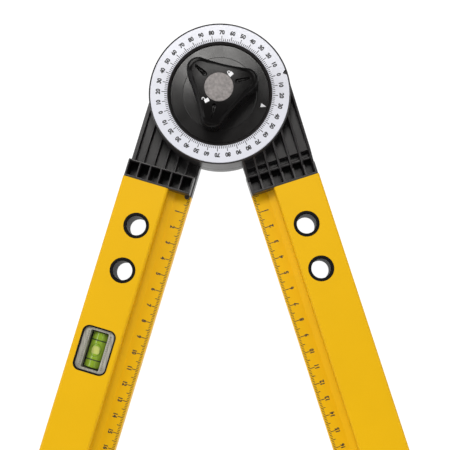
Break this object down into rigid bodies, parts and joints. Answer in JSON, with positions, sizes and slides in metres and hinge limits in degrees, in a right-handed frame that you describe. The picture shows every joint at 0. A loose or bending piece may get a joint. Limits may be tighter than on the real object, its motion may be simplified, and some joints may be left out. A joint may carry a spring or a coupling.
{
  "type": "folding angle finder",
  "caption": "Folding bevel for carpentry: hollow metal arms on a clamped hinge with a protractor dial, a pointer disc, a lobed clamp knob and a level vial in one arm.",
  "frame": {"origin": "on the hinge axis, in the plane of the flat back", "axes": "+Z along the hinge axis from the back towards the dial and knob; -Y halves the opening between the arms; +X towards the arm that carries the dial"},
  "size_m": [0.4758, 0.6776, 0.0512],
  "materials": {
    "yellow_coat": "satin",
    "head_plastic": "matte",
    "sleeve_plastic": "satin",
    "cap_plastic": "matte",
    "steel": "satin",
    "dial_white": "satin",
    "disc_plastic": "satin",
    "knob_plastic": "satin",
    "boss_plastic": "matte",
    "brass": "satin",
    "friction_fibre": "matte",
    "clear_acrylic": "gloss",
    "tube_acrylic": "gloss",
    "spirit_green": "gloss",
    "bubble_clear": "gloss",
    "ring_black": "matte"
  },
  "bodies": {
    "left_arm": {"left_arm_section": "yellow_coat", "left_arm_head": "head_plastic", "left_arm_hole_sleeves": "sleeve_plastic", "left_arm_end_cap": "cap_plastic", "left_head_screws": "steel", "pointer_disc": "disc_plastic", "clamp_bolt": "steel", "thrust_washer": "steel", "spring_washer": "steel", "hinge_bush": "steel", "rear_hub_cap": "cap_plastic", "vial_window_frame": "sleeve_plastic", "vial_holder_block": "clear_acrylic", "vial_tube": "tube_acrylic", "vial_liquid": "spirit_green", "vial_bubble": "bubble_clear", "vial_reading_rings": "ring_black"},
    "right_arm": {"right_arm_section": "yellow_coat", "right_arm_head": "head_plastic", "right_arm_hole_sleeves": "sleeve_plastic", "right_arm_end_cap": "cap_plastic", "right_head_screws": "steel", "dial_ring": "dial_white", "hub_friction_ring": "friction_fibre"},
    "clamp_knob": {"clamp_knob": "knob_plastic", "knob_boss_cap": "boss_plastic", "knob_threaded_insert": "brass"}
  },
  "joints": [
    {"name": "arm_hinge", "type": "hinge", "parent": "left_arm", "child": "right_arm", "pos_m": [0, 0, 0.011], "axis": [0, 0, 1], "range_deg": [-34.5, 235.5]},
    {"name": "knob_turn", "type": "hinge", "parent": "left_arm", "child": "clamp_knob", "pos_m": [0, 0, 0.04], "axis": [0, 0, 1], "range_deg": [0, 180]}
  ]
}
